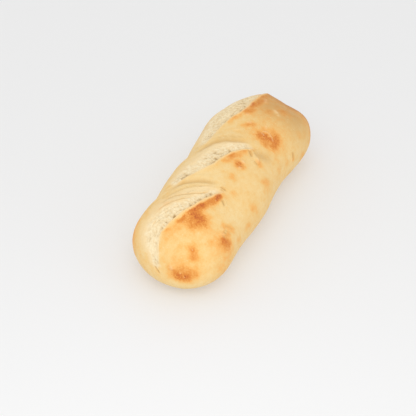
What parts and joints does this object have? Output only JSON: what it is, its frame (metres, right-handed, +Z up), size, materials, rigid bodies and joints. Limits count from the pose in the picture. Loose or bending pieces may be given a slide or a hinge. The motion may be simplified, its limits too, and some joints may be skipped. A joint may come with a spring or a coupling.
{
  "type": "demi baguette",
  "caption": "Short crusty bread loaf, pale golden, with slanting scores that open into pale crumb beside browned raised lips of crust.",
  "frame": {"origin": "centre of the loaf's bounding box, on the surface that its flat base rests on", "axes": "+X along the loaf towards its squarer end, +Y towards the side on which the scores open, +Z up"},
  "size_m": [0.2012, 0.0734, 0.0515],
  "materials": {
    "crust": "pale golden baked crust with orange-brown blisters and cream crumb in the scores"
  },
  "bodies": {
    "root": {"loaf": "crust"}
  },
  "joints": []
}
